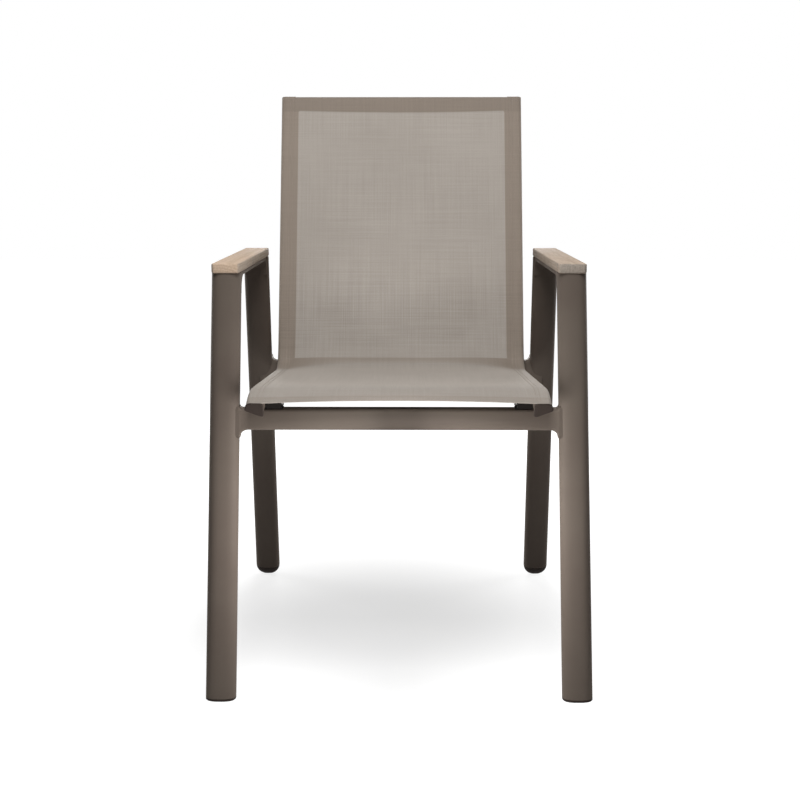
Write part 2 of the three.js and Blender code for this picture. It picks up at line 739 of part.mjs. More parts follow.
// End pieces of the rails: a plate over the cut end and a tenon in the chamber
function railCap(side, outline, end, outward, chamfer) {
  const plateStart = end + outward * fitGap;
  const plateEnd = plateStart + outward * railCapThickness;
  const { point, facing } = railPath.at(end);
  const along = new THREE.Vector2(facing.y, -facing.x);
  const straight = (distance, p) => new THREE.Vector3(
    side * p.x,
    point.x + along.x * (distance - end) + facing.x * p.y,
    point.y + along.y * (distance - end) + facing.y * p.y,
  );
  const centre = outline.reduce((sum, p) => sum.add(p), new THREE.Vector2()).divideScalar(outline.length);
  const shrink = 1 - (2 * chamfer) / railWidth;
  const small = outline.map((p) => p.clone().sub(centre).multiplyScalar(shrink).add(centre));
  const chamfered = chamfer > 0 ? [small.map((p) => straight(plateEnd, p))] : [];
  const plate = skin([
    outline.map((p) => straight(plateStart, p)),
    outline.map((p) => straight(plateEnd - outward * chamfer, p)),
    ...chamfered,
  ]);
  // The tenon lies along the rail's last straight facet
  const near = outward < 0 ? railStations.slice(0, 2) : railStations.slice(-2).reverse();
  const [mouth, inner] = sweep(chamberOutline(railWall + fitGap), side, near);
  const reach = Math.abs(near[1] - near[0]);
  const tenon = skin([-fitGap - railCapThickness / 2, railTenonLength].map((depth) => (
    mouth.map((p, i) => p.clone().lerp(inner[i], depth / reach)))));
  return join(plate, tenon);
}

// The bar between the rails' top ends, inside the sling's hem

const topBarCentre = railPath.length + topBarRise - topBarHeight / 2;

function topBar() {
  const outline = (inset) => {
    const [tall, deep] = [topBarHeight / 2 - inset, topBarDepth / 2 - inset];
    return roundCorners([[-deep, -tall, deep], [deep, -tall, deep], [deep, tall, deep], [-deep, tall, deep]], 6);
  };
  const loop = (x, inset) => outline(inset).map((p) => onPath(topBarCentre + p.y, x, p.x - topBarDepth / 2));
  const half = railInnerHalf - fitGap;
  return skin([loop(-half, 0), loop(half, 0)], [[loop(-half, topBarWall), loop(half, topBarWall)]]);
}

// Sling

const swell = (share) => Math.sin(Math.PI * Math.min(Math.max(share, 0), 1)) ** 2;

// How far the cloth lies below the rails' top line, at a distance along it and a share of the way from
// the chair's middle to a rail. It sags in the seat and in the back, and cuts the corner between them.
function clothDrop(distance, share) {
  const seat = swell(distance / bendBegins) * seatSag;
  const back = swell((distance - bendEnds) / railPath.back) * backSag;
  const fromBend = (distance - (bendBegins + bendEnds) / 2) / bendBridgeReach;
  const bridge = Math.exp(-(fromBend ** 2)) * bendBridge;
  return (seat + back) * (1 - share ** 2) - bridge * (1 - share ** bendBridgeFlatness);
}

// The cloth's middle line across the chair: out of one groove, over both rails, into the other
function clothLine(distance) {
  const lower = clothOffset / undersideTilt;
  const outer = railOuterHalf + clothOffset;
  const edge = roundCorners([
    [grooveX, grooveY - splineRadius - fitGap, 0],
    [grooveX, underside(grooveX) - lower, 0],
    [outer, underside(outer) - lower, railLowerRadius + clothOffset],
    [outer, clothOffset, railOuterTopRadius + clothOffset],
    [railInnerHalf, clothOffset, 0],
  ], railCornerSteps, true);
  const span = acrossShares.map((share) => new THREE.Vector2(
    share * railInnerHalf, clothOffset - clothDrop(distance, share)));
  const mirrored = edge.map((p) => new THREE.Vector2(-p.x, p.y)).reverse();
  return [...edge, ...span, ...mirrored];
}

function sling() {
  const end = railPath.length + fitGap + railCapThickness;
  const stations = [
    ...steps(0, railPath.frontArc, frontCurveSteps),
    ...steps(0, 1, seatClothSteps).map((share) => (
      bendBegins - railPath.seat * (1 - share) ** clothStepGrading)),
    ...steps(bendBegins, bendEnds, bendSteps),
    ...steps(0, 1, backClothSteps).map((share) => bendEnds + (end - bendEnds) * share ** clothStepGrading),
    end,
  ];
  const sheet = skin(stations.map((distance) => {
    const fade = Math.max(1 - distance / frontScallopReach, 0);
    return stripOutline(clothLine(distance), slingThickness).map((p) => {
      const share = Math.min(Math.abs(p.x) / railInnerHalf, 1);
      return onPath(distance + frontScallop * fade * (1 - share ** 2), p.x, p.y);
    });
  }), [], true);
  const half = railInnerHalf - cutOverrun;
  const hemStart = topBarCentre + topBarHeight / 2 - topBarDepth / 2;
  const mouth = [[hemStart, -cutOverrun], [end + cutOverrun, -cutOverrun],
    [end + cutOverrun, cutOverrun * 2], [hemStart, cutOverrun * 2]];
  const mouthLoop = (x) => mouth.map(([distance, y]) => onPath(distance, x, y));
  const opening = skin([mouthLoop(-half), mouthLoop(half)]);
  return join(cut(sheet, [opening]), hem(hemStart, half - fitGap));
}

// The hem: over the top bar, down its back and forward again to its seam on the sheet
function hem(start, half) {
  const clear = clothOffset;
  const behind = -topBarDepth - clear;
  const foot = topBarCentre - topBarHeight / 2;
  const turn = topBarDepth / 2 + clear;
  const line = roundCorners([
    [clear, start - topBarDepth / 2, 0],
    [clear, start + turn, turn],
    [behind, start + turn, turn],
    [behind, foot, topBarDepth / 2],
    [clear, foot - hemTail, 0],
  ], hemSteps, true);
  const loop = (x) => stripOutline(line, slingThickness * hemThicknessShare)
    .map((p) => onPath(p.y, x, p.x));
  return skin([loop(-half), loop(half)], [], true);
}

// Brackets that tie the rails to the crossbars

const frontCrossbarTop = (() => {
  const under = railStations.map((distance) => onPath(distance, railInnerHalf, -railInnerHeight));
  const next = under.findIndex((p) => p.y > -crossbarDepth / 2);
  const [from, to] = under.slice(next - 1, next + 1);
  return from.z + ((to.z - from.z) * (-crossbarDepth / 2 - from.y)) / (to.y - from.y) - fitGap;
})();

const bracketFaces = [railInnerHalf - fitGap - bracketWidth, railInnerHalf - fitGap];

function frontBracket(side) {
  const base = frontCrossbarTop + fitGap;
  const [inner, outer] = bracketFaces;
  const flank = roundCorners([
    [inner - bracketRadius, base, 0], [outer, base, 0],
    [outer, base + frontBracketHeight, 0],
    [inner, base + frontBracketHeight, bracketRadius],
    [inner, base, bracketRadius],
  ], 4);
  const loop = (y) => flank.map((p) => new THREE.Vector3(side * p.x, y, p.y));
  return cut(skin([loop(-frontBracketDepth / 2), loop(frontBracketDepth / 2)]), [boltHole(side, false)]);
}

function rearBracket(side) {
  const face = rearCrossbarFace - fitGap;
  const radius = bendRadius + rearBracketOffset;
  const arc = Array.from({ length: bendSteps }, (_, k) => {
    const angle = rearBracketStart + ((rearBracketEnd - rearBracketStart) * k) / (bendSteps - 1);
    return new THREE.Vector2(radius, 0).rotateAround(new THREE.Vector2(), angle).add(railPath.bendCentre);
  });
  const head = rearCrossbarTop - bracketRadius;
  const outline = [...arc, new THREE.Vector2(face, head), new THREE.Vector2(face, head - rearBracketHeight)];
  const loop = (x) => outline.map((p) => new THREE.Vector3(side * x, p.x, p.y));
  return cut(skin([loop(bracketFaces[0]), loop(bracketFaces[1])]), [boltHole(side, true)]);
}

function bracketBolt(side, rear) {
  const { y, z } = boltAxis(rear);
  const seat = bracketFaces[0] - fitGap - boltHeadHeight;
  const head = new THREE.Vector3(side * seat, y, z);
  const length = railInnerHalf + boltReach - fitGap - seat - boltHeadHeight;
  return screw(head, new THREE.Vector3(side, 0, 0), boltHeadRadius, boltHeadHeight, boltRadius, length,
    boltDriveRadius, boltDriveDepth);
}

function armScrew(side, reach) {
  const length = fitGap + armBarThickness + fitGap + armScrewBite;
  const head = new THREE.Vector3(side * topHalfSpacing, reach,
    legTop - armBarThickness - fitGap - armScrewHeadHeight);
  return screw(head, new THREE.Vector3(0, 0, 1), armScrewHeadRadius, armScrewHeadHeight,
    armScrewShankRadius, length, armScrewDriveRadius, armScrewDriveDepth);
}

// Assembly

Object.entries(SIDES).forEach(([name, side]) => {
  addPiece(`front_leg_${name}`, leg(side, false), 'frame');
  addPiece(`rear_leg_${name}`, leg(side, true), 'frame');
  addPiece(`front_foot_${name}`, frontFoot(side), 'plastic');
  addPiece(`rear_foot_${name}`, rearFoot(side), 'plastic');
  addPiece(`arm_bar_${name}`, armBar(side), 'frame');
  addPiece(`armrest_${name}`, armrest(side), 'wood');
  armScrewPlaces.forEach((reach, i) => {
    addPiece(`armrest_screw_${name}_${i + 1}`, armScrew(side, reach), 'steel');
  });
  addPiece(`sling_rail_${name}`, slingRail(side), 'frame');
  addPiece(`spline_${name}`, spline(side), 'plastic');
  addPiece(`rail_front_cap_${name}`,
    railCap(side, plainRailOutline(clothOffset, railCapFlare), 0, -1, railCapChamfer), 'plastic');
  addPiece(`rail_top_plug_${name}`,
    railCap(side, railOutline(), railPath.length, 1, 0), 'plastic');
  addPiece(`front_bracket_${name}`, frontBracket(side), 'plastic');
  addPiece(`rear_bracket_${name}`, rearBracket(side), 'frame');
  addPiece(`front_bolt_${name}`, bracketBolt(side, false), 'steel');
  addPiece(`rear_bolt_${name}`, bracketBolt(side, true), 'steel');
});
addPiece('front_crossbar', crossbar(false, frontCrossbarTop), 'frame');
addPiece('rear_crossbar', crossbar(true, rearCrossbarTop), 'frame');
addPiece('back_top_bar', topBar(), 'frame');
addPiece('sling', sling(), 'cloth');

const extent = new THREE.Box3().setFromObject(chair);
chair.position.y = -(extent.min.y + extent.max.y) / 2;

export default chair;
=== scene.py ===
# Patio armchair with a textile sling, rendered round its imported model. Metres, +Z up, facing -Y.
import math
from functools import partial

import bpy
import numpy as np
from mathutils import Matrix, Vector
from mathutils.bvhtree import BVHTree


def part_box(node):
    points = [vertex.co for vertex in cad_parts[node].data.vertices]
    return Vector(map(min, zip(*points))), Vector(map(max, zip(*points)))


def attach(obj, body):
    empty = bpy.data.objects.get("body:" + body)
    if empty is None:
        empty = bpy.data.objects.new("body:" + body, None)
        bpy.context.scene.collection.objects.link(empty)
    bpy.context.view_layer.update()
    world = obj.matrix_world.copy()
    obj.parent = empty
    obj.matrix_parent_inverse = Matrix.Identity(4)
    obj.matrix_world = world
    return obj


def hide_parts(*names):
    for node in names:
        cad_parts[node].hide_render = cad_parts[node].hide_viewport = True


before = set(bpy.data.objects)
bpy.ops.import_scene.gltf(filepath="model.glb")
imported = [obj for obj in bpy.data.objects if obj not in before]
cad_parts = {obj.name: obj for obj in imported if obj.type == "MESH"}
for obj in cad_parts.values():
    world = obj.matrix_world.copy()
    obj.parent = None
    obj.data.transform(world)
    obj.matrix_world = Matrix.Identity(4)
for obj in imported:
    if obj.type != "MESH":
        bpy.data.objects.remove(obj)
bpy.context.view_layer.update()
bpy.ops.object.select_all(action="DESELECT")


# Side frames. Each is two leaning oval tubes of aluminium with a flat bar welded between their tops.
# The frame is powder coated after welding, so one fine-grained coat runs over tube, bar and fillets.

MM = 0.001


def new_material(name):
    material = bpy.data.materials.new(name)
    material.use_nodes = True
    return material, material.node_tree, material.node_tree.nodes["Principled BSDF"]


def object_place(tree):
    return tree.nodes.new("ShaderNodeTexCoord").outputs["Object"]


def shade(red, green, blue):
    """A colour as it looks on a screen, 0 to 255, as the linear colour of a socket."""
    screen = [level / 255 for level in (red, green, blue)]
    linear = [s / 12.92 if s <= 0.04045 else ((s + 0.055) / 1.055) ** 2.4 for s in screen]
    return (*linear, 1.0)


def noise(tree, place, scale, detail=2.0, rough=0.5):
    texture = tree.nodes.new("ShaderNodeTexNoise")
    texture.inputs["Scale"].default_value = scale
    texture.inputs["Detail"].default_value = detail
    texture.inputs["Roughness"].default_value = rough
    tree.links.new(place, texture.inputs["Vector"])
    return texture.outputs["Fac"]


def ramp(tree, factor, *stops):
    node = tree.nodes.new("ShaderNodeValToRGB")
    node.color_ramp.elements[0].position, node.color_ramp.elements[0].color = stops[0]
    node.color_ramp.elements[1].position, node.color_ramp.elements[1].color = stops[-1]
    for place, colour in stops[1:-1]:
        node.color_ramp.elements.new(place).color = colour
    tree.links.new(factor, node.inputs["Fac"])
    return node.outputs["Color"]


def toned(tree, pattern, low, high):
    """A colour between two screen colours, by a noise, nearly all of which lies from 0.3 to 0.7."""
    return ramp(tree, pattern, (0.3, shade(*low)), (0.7, shade(*high)))


def spread(tree, factor, low, high):
    """A value from low to high, as the factor goes from 0 to 1."""
    node = tree.nodes.new("ShaderNodeMapRange")
    node.inputs["To Min"].default_value = low
    node.inputs["To Max"].default_value = high
    tree.links.new(factor, node.inputs["Value"])
    return node.outputs["Result"]


def bump(tree, shader, height, depth, strength):
    node = tree.nodes.new("ShaderNodeBump")
    node.inputs["Distance"].default_value = depth
    node.inputs["Strength"].default_value = strength
    tree.links.new(height, node.inputs["Height"])
    tree.links.new(node.outputs["Normal"], shader.inputs["Normal"])


def powder_coat(name, low, high):
    material, tree, shader = new_material(name)
    place = object_place(tree)
    cloud = noise(tree, place, scale=9, detail=4)
    grain = noise(tree, place, scale=1500, detail=2, rough=0.6)
    tree.links.new(toned(tree, cloud, low, high), shader.inputs["Base Color"])
    tree.links.new(spread(tree, cloud, 0.52, 0.64), shader.inputs["Roughness"])
    shader.inputs["Specular IOR Level"].default_value = 0.08
    bump(tree, shader, grain, depth=0.12 * MM, strength=0.35)
    return material


frame_coat = powder_coat("frame_powder_coat", low=(90, 80, 73), high=(97, 88, 80))


def dressed(node, name, material, smooth=32):
    """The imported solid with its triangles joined, and edges of less than smooth degrees shaded round."""
    piece = bpy.data.objects.new(name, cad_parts[node].data.copy())
    bpy.context.scene.collection.objects.link(piece)
    bpy.ops.object.select_all(action="DESELECT")
    piece.select_set(True)
    bpy.context.view_layer.objects.active = piece
    bpy.ops.mesh.customdata_custom_splitnormals_clear()
    bpy.ops.object.mode_set(mode="EDIT")
    bpy.ops.mesh.select_all(action="SELECT")
    bpy.ops.mesh.remove_doubles(threshold=0.002 * MM)
    bpy.ops.object.mode_set(mode="OBJECT")
    bpy.ops.object.shade_smooth_by_angle(angle=math.radians(smooth))
    piece.data.materials.clear()
    piece.data.materials.append(material)
    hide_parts(node)
    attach(piece, "root")
    return piece


weld_reach, weld_depth = 0.4 * MM, 0.5 * MM


def welded(piece, *tubes):
    """Presses a bar's coped ends into the tubes that they are welded to, under the one coat of powder."""
    for tube in tubes:
        corners, sides = [v.co for v in tube.data.vertices], [p.vertices for p in tube.data.polygons]
        skin = BVHTree.FromPolygons(corners, sides)
        for vertex in piece.data.vertices:
            spot, normal, _, distance = skin.find_nearest(vertex.co, weld_reach)
            if spot is not None and distance < weld_reach:
                vertex.co -= normal * weld_depth


legs = {}
for side in ("left", "right"):
    for end in ("front", "rear"):
        legs[end, side] = dressed(f"{end}_leg_{side}", f"{end}_leg_tube_{side}", frame_coat)
    arm_bar = dressed(f"arm_bar_{side}", f"arm_flat_bar_{side}", frame_coat)
    welded(arm_bar, legs["front", side], legs["rear", side])


# Feet. Moulded plugs of dark plastic, pushed up into the open ends of the legs: a flat glide in front
# and a dome, worn flat where it stands, at the rear.

def moulded_plastic(name, low, high, gloss):
    material, tree, shader = new_material(name)
    place = object_place(tree)
    cloud = noise(tree, place, scale=40, detail=3)
    grain = noise(tree, place, scale=2600, detail=1)
    tree.links.new(toned(tree, cloud, low, high), shader.inputs["Base Color"])
    tree.links.new(spread(tree, cloud, 0.5, 0.65), shader.inputs["Roughness"])
    shader.inputs["Specular IOR Level"].default_value = gloss
    bump(tree, shader, grain, depth=0.08 * MM, strength=0.3)
    return material


end_plastic = moulded_plastic("end_plastic", low=(45, 38, 34), high=(53, 45, 41), gloss=0.08)
for side in ("left", "right"):
    dressed(f"front_foot_{side}", f"front_glide_{side}", end_plastic)
    dressed(f"rear_foot_{side}", f"rear_dome_{side}", end_plastic, smooth=40)


# Crossbars. Flat aluminium tubes below the seat's front edge and behind the seat. Their ends are coped
# to the legs and welded, and the welds are ground to smooth flares under the same coat.

for end in ("front", "rear"):
    crossbar = dressed(f"{end}_crossbar", f"{end}_cross_tube", frame_coat)
    welded(crossbar, legs[end, "left"], legs[end, "right"])


# Armrests. Planed hardwood slats, screwed to the flat bars from underneath. They are oiled, and greyed along
# their sides, partly by weather and partly as painted shade, the right one by weather on its ends and top as
# well.

def feed(tree, socket, value):
    """Gives a socket a fixed value, or links another node's output to it."""
    if isinstance(value, bpy.types.NodeSocket):
        tree.links.new(value, socket)
    else:
        socket.default_value = value


def math_node(tree, operation, *values):
    node = tree.nodes.new("ShaderNodeMath")
    node.operation = operation
    for socket, value in zip(node.inputs, values):
        feed(tree, socket, value)
    return node.outputs["Value"]


def mixed(tree, kind, factor, first, second):
    node = tree.nodes.new("ShaderNodeMix")
    node.data_type = "RGBA"
    node.blend_type = kind
    for socket, value in (("Factor", factor), ("A", first), ("B", second)):
        feed(tree, node.inputs[socket], value)
    return node.outputs["Result"]


def smooth_step(tree, value, start, stop, low=0.0, high=1.0):
    """From low to high, gently, as the value goes from start to stop."""
    node = tree.nodes.new("ShaderNodeMapRange")
    node.interpolation_type = "SMOOTHSTEP"
    node.inputs["From Min"].default_value = start
    node.inputs["From Max"].default_value = stop
    node.inputs["To Min"].default_value = low
    node.inputs["To Max"].default_value = high
    tree.links.new(value, node.inputs["Value"])
    return node.outputs["Result"]


side_grey_and_shade, grain_stretch = 0.65, 0.05


def weathered_and_shaded_wood(name, offset, end_grey, top_grey):
    """Oiled wood whose grain runs along the slat, greyed by an amount on its sides, ends and top."""
    material, tree, shader = new_material(name)
    calc, eased = partial(math_node, tree), partial(smooth_step, tree)
    place = object_place(tree)
    board = tree.nodes.new("ShaderNodeMapping")
    board.inputs["Location"].default_value = offset
    board.inputs["Scale"].default_value = (1.0, grain_stretch, 1.0)
    tree.links.new(place, board.inputs["Vector"])
    along = board.outputs["Vector"]
    figure = tree.nodes.new("ShaderNodeTexWave")
    figure.wave_type = "RINGS"
    figure.rings_direction = "Y"
    figure.inputs["Scale"].default_value = 80
    figure.inputs["Distortion"].default_value = 3.0
    figure.inputs["Detail"].default_value = 3
    figure.inputs["Detail Scale"].default_value = 1.4
    tree.links.new(along, figure.inputs["Vector"])
    streak = noise(tree, along, scale=420, detail=5, rough=0.65)
    pore = noise(tree, along, scale=1700, detail=2, rough=0.5)
    cloud = noise(tree, place, scale=60, detail=3, rough=0.6)
    rings = ramp(tree, figure.outputs["Fac"],
                 (0.0, shade(186, 164, 143)), (0.55, shade(192, 170, 149)), (1.0, shade(196, 174, 153)))
    fibres = ramp(tree, streak, (0.38, shade(214, 207, 200)), (0.62, shade(255, 255, 255)))
    oiled = mixed(tree, "MULTIPLY", 0.4, rings, fibres)

    # Weather and painted shade: greyer the more the surface turns from the top towards a side or an end, on
    # the sides partly as painted shade, and more in patches
    turned = tree.nodes.new("ShaderNodeSeparateXYZ")
    tree.links.new(tree.nodes.new("ShaderNodeNewGeometry").outputs["Normal"], turned.inputs["Vector"])
    sides = eased(calc("ABSOLUTE", turned.outputs["X"]), 0.2, 0.75, high=side_grey_and_shade)
    ends = eased(calc("ABSOLUTE", turned.outputs["Y"]), 0.2, 0.75, high=end_grey)
    weather_and_shade = calc("MAXIMUM", calc("MAXIMUM", sides, ends), top_grey)
    patch = ramp(tree, cloud, (0.52, (0, 0, 0, 1)), (0.72, (0.55, 0.55, 0.55, 1)))
    weather_and_shade = calc("ADD", weather_and_shade, calc("MULTIPLY", patch, calc("ADD", weather_and_shade, 0.12)))
    grey = toned(tree, streak, (128, 119, 110), (160, 151, 141))
    tree.links.new(mixed(tree, "MIX", weather_and_shade, oiled, grey), shader.inputs["Base Color"])
    tree.links.new(spread(tree, streak, 0.58, 0.74), shader.inputs["Roughness"])
    shader.inputs["Specular IOR Level"].default_value = 0.06
    bump(tree, shader, pore, depth=0.15 * MM, strength=0.4)
    return material


left_wood = weathered_and_shaded_wood("armrest_wood_left", (0.245, 0.0, -0.59), end_grey=0.0, top_grey=0.0)
right_wood = weathered_and_shaded_wood("armrest_wood_right", (-0.232, 0.3, -0.585), end_grey=0.95, top_grey=0.32)
for side, wood in (("left", left_wood), ("right", right_wood)):
    dressed(f"armrest_{side}", f"armrest_slat_{side}", wood, smooth=40)


# Brackets, screws and bolts. Moulded spacers in front, near black as painted shade, and aluminium blocks at
# the rear tie the rails to the crossbars. The fasteners are stainless steel, and three screws sit under each
# armrest.

def bright_steel(name):
    material, tree, shader = new_material(name)
    cloud = noise(tree, object_place(tree), scale=900, detail=3)
    tree.links.new(toned(tree, cloud, (132, 129, 125), (158, 155, 151)), shader.inputs["Base Color"])
    tree.links.new(spread(tree, cloud, 0.25, 0.42), shader.inputs["Roughness"])
    shader.inputs["Metallic"].default_value = 1.0
    bump(tree, shader, cloud, depth=0.03 * MM, strength=0.3)
    return material


steel = bright_steel("fastener_steel")
# The front spacers' near-black colour is painted shade under the seat's front
spacer_painted_shade = moulded_plastic("spacer_painted_shade", low=(26, 23, 21), high=(34, 30, 28), gloss=0.06)
for side in ("left", "right"):
    for count in (1, 2, 3):
        dressed(f"armrest_screw_{side}_{count}", f"arm_screw_{side}_{count}", steel)
    for end in ("front", "rear"):
        dressed(f"{end}_bolt_{side}", f"{end}_bracket_bolt_{side}", steel)
    dressed(f"front_bracket_{side}", f"front_rail_bracket_{side}", spacer_painted_shade)
    dressed(f"rear_bracket_{side}", f"rear_rail_bracket_{side}", frame_coat)


# Sling rails. Bent aluminium extrusions with a keyhole groove underneath, closed by plastic end pieces,
# and the small tube that keeps them apart at the top of the back.

for side in ("left", "right"):
    dressed(f"sling_rail_{side}", f"bent_rail_{side}", frame_coat, smooth=30)
    dressed(f"rail_front_cap_{side}", f"rail_cap_{side}", end_plastic, smooth=30)
    dressed(f"rail_top_plug_{side}", f"rail_plug_{side}", end_plastic, smooth=30)
    dressed(f"spline_{side}", f"spline_rod_{side}", end_plastic, smooth=50)
dressed("back_top_bar", "top_tube", frame_coat, smooth=40)


# Sling. One length of vinyl-coated mesh, stretched over both rails and drawn into their grooves round
# the splines. Its front edge is turned under, its top edge is a sleeve round the top tube, and its
# sides are doubled by a seam allowance with two rows of stitches.

# The rails' top line in millimetres, with distances along it from the rails' front ends
seat_slope, back_recline = math.radians(4.5), math.radians(18.1)
bend_radius, front_radius, front_angle = 45.0, 125.0, math.radians(29.7)
corner_height, corner_setback = 432.5, 21.0     # where the seat's and the back's lines would meet
back_line, curve_reach = 480.5, 24.0            # from there to the top, and from the front legs to the curve
front_low, front_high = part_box("front_crossbar")
legs_line = (front_low.y + front_high.y) / 2 / MM
corner_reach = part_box("rear_crossbar")[0].y / MM - corner_setback
bend_angle = math.pi / 2 + seat_slope - back_recline
tangent = bend_radius * math.tan(bend_angle / 2)
seat_line = (corner_reach - legs_line - curve_reach) / math.cos(seat_slope)
front_arc = front_radius * front_angle
seat_end = front_arc + seat_line - tangent
bend_end = seat_end + bend_radius * bend_angle
rail_end = bend_end + back_line - tangent


def facing_at(turn):
    """The way that the rails face, as (y, z), where they have turned forwards from the seat's slope."""
    return np.array([math.sin(seat_slope - turn), math.cos(seat_slope - turn)])


def onward(facing):
    """The way that the rails run on, as (y, z), where they face a given way."""
    return np.array([facing[1], -facing[0]])


def rail_line(distance):
    """Where the rails' top line is at a distance from its front end, and which way it faces, as (y, z)."""
    seat_up = facing_at(0.0)
    corner = np.array([corner_reach, corner_height])
    start = corner - onward(seat_up) * seat_line
    if distance < front_arc:
        facing = facing_at((front_arc - distance) / front_radius)
        return start + (facing - seat_up) * front_radius, facing
    if distance < seat_end:
        return start + onward(seat_up) * (distance - front_arc), seat_up
    facing = facing_at(min((distance - seat_end) / bend_radius, bend_angle))
    centre = corner - onward(seat_up) * tangent + seat_up * bend_radius
    past = max(distance - bend_end, 0.0)
    return centre - facing * bend_radius + onward(facing) * past, facing


rail_outer, rail_width, outer_height, inner_height = 209.5, 22.0, 9.8, 21.0
rail_wall, groove_radius, groove_reach = 1.8, 3.6, 3.0
outer_round, under_round, mouth_round = 5.0, 2.0, 0.8
rail_inner = rail_outer - rail_width
groove_x = rail_outer - rail_wall - groove_radius
under_slope = (inner_height - outer_height) / rail_width
layer = 0.6                       # one thickness of the mesh
upper, lower = 1.2, 0.5           # the middle of the outer and of the turned-under layer, off the rail
between, fold = (upper + lower) / 2, (upper - lower) / 2
fold_turns = (0.8, 1.57, 2.35)    # the rows round a fold, by the angle turned
seams = (190.0, 195.5)            # the two rows of stitches that hold the doubled side
dimple, dimple_reach = 0.16, 0.7  # the furrow that a row of stitches draws
seat_sag, back_sag = 5.0, 3.0
bend_bridge, bridge_reach, bridge_flatness = 11.0, 45.0, 6      # the tight cloth cuts across the bend
scallop, scallop_reach = 7.0, 70.0                              # the front edge's hollow
pucker, pucker_line, pucker_reach = 0.10, 180.0, 9.0            # small waves along the doubled side
pucker_wave, drift, drift_wave = 0.47, 1.3, 0.11
hem_turn, hem_start = 14.0, 1.5                                 # the front edge, turned under

# The columns of points across half of the cloth: they close up at the allowance's edge and at the seams
allowance_edge, slit_edge = 181.0, 186.0
inner_columns = [0.0, 14.0, 28.0, 42.0, 56.0, 70.0, 84.0, 98.0, 112.0, 124.0, 136.0, 146.0, 155.0, 163.0,
                 169.0, 174.5, 178.5, 180.4, allowance_edge, 181.6, 183.0, 184.5, slit_edge]
rail_columns = [rail_inner, 188.7, 189.3, 190.0, 190.7, 192.7, 194.8, 195.5, 196.2, 200.0]


def swell(share):
    return math.sin(math.pi * min(max(share, 0.0), 1.0)) ** 2


def sag(distance, share):
    """How far the cloth hangs below the rails' line, at a share of the way from the middle to a rail."""
    hang = seat_sag * swell(distance / seat_end)
    hang += back_sag * swell((distance - bend_end) / (rail_end - bend_end))
    bridge = bend_bridge * math.exp(-((distance - (seat_end + bend_end) / 2) / bridge_reach) ** 2)
    return hang * (1 - share ** 2) - bridge * (1 - share ** bridge_flatness)


def scalloped(distance, share):
    """Where a row lies at a share of the way to a rail: near the front it runs back towards its middle."""
    fade = max(1 - max(distance, 0.0) / scallop_reach, 0.0)
    return distance + scallop * fade * (1 - share ** 2)


def rounded(points, parts=5):
    """The line through points (x, y, radius), with an arc of some parts at each point that has a radius."""
    line = []
    for i, (x, y, radius) in enumerate(points):
        here = np.array([x, y])
        if radius == 0:
            line.append(here)
            continue
        before = np.array(points[i - 1][:2]) - here
        after = np.array(points[i + 1][:2]) - here
        before, after = before / np.linalg.norm(before), after / np.linalg.norm(after)
        half = math.acos(np.clip(before @ after, -1, 1)) / 2
        centre = here + (before + after) / np.linalg.norm(before + after) * radius / math.sin(half)
        first = here + before * radius / math.tan(half) - centre
        last = here + after * radius / math.tan(half) - centre
        sweep = math.acos(np.clip(first @ last / radius ** 2, -1, 1))
        for k in range(parts + 1):
            share = k / parts
            spoke = first * math.sin((1 - share) * sweep) + last * math.sin(share * sweep)
            line.append(centre + spoke / math.sin(sweep))
    return line


def under_rail(x):
    return -outer_height - (rail_outer - x) * under_slope


def side_line(off):
    """Half of the cloth's cross-section from the rail's inner edge outwards, round it and into its groove."""
    drop = off / math.cos(math.atan(under_slope))
    outside, mouth = rail_outer + off, groove_x + off - between
    wrap = rounded([(rail_columns[-1], off, 0),
                    (outside, off, outer_round + off),
                    (outside, under_rail(outside) - drop, under_round + off),
                    (mouth, under_rail(groove_x) - drop, mouth_round),
                    (mouth, under_rail(groove_x) + groove_reach, 0)])
    return np.array([(x, off) for x in rail_columns[:-1]] + [tuple(point) for point in wrap])


def half_row(off, distance, ease=1.0):
    """x, height over the rails' line and flat place of each column of one row, from the middle outwards."""
    edge = side_line(off)
    x = np.concatenate([inner_columns, edge[:, 0]])
    y = np.concatenate([np.full(len(inner_columns), off), edge[:, 1]])
    flat = np.concatenate([[0], np.cumsum(np.hypot(np.diff(x), np.diff(y)))])
    share = np.clip(x / rail_inner, 0, 1)
    hang = ease * sag(max(distance, 0.0), share)
    for seam in seams:
        hang = hang + dimple * np.exp(-((x - seam) / dimple_reach) ** 2)
    on_top = np.arange(len(x)) < len(inner_columns) + len(rail_columns)
    return x, y - np.where(on_top, hang, 0), flat, share


def cloth_row(distance, off, flat_v, ease=1.0):
    """The points and flat places of a row of the cloth, from its left edge to its right one."""
    x, y, flat, share = half_row(off, distance, ease)
    points, flats = [], []
    for side in (-1, 1):
        for i in range(len(x)) if side > 0 else range(len(x) - 1, 0, -1):
            reach = scalloped(distance, share[i])
            near = math.exp(-((x[i] - pucker_line) / pucker_reach) ** 2)
            lift = pucker * near * math.sin(reach * pucker_wave + drift * math.sin(reach * drift_wave) + side)
            base, facing = rail_line(max(reach, 0.0))
            spot = base + onward(facing) * min(reach, 0.0) + facing * (y[i] + lift)
            points.append((side * x[i], spot[0], spot[1]))
            flats.append((side * flat[i], flat_v))
    return points, flats


def lattice(rows):
    """Quads between rows of the same length, given as lists of point numbers."""
    return [(a[i], a[i + 1], b[i + 1], b[i]) for a, b in zip(rows, rows[1:]) for i in range(len(a) - 1)]


def steps(start, stop, size):
    return list(np.linspace(start, stop, max(2, int(round((stop - start) / size)) + 1))[:-1])


vertices, places, faces = [], [], []


def add_row(points, flats):
    """Adds a row of points to the cloth and gives their numbers."""
    first = len(vertices)
    vertices.extend(points)
    places.extend(flats)
    return list(range(first, len(vertices)))


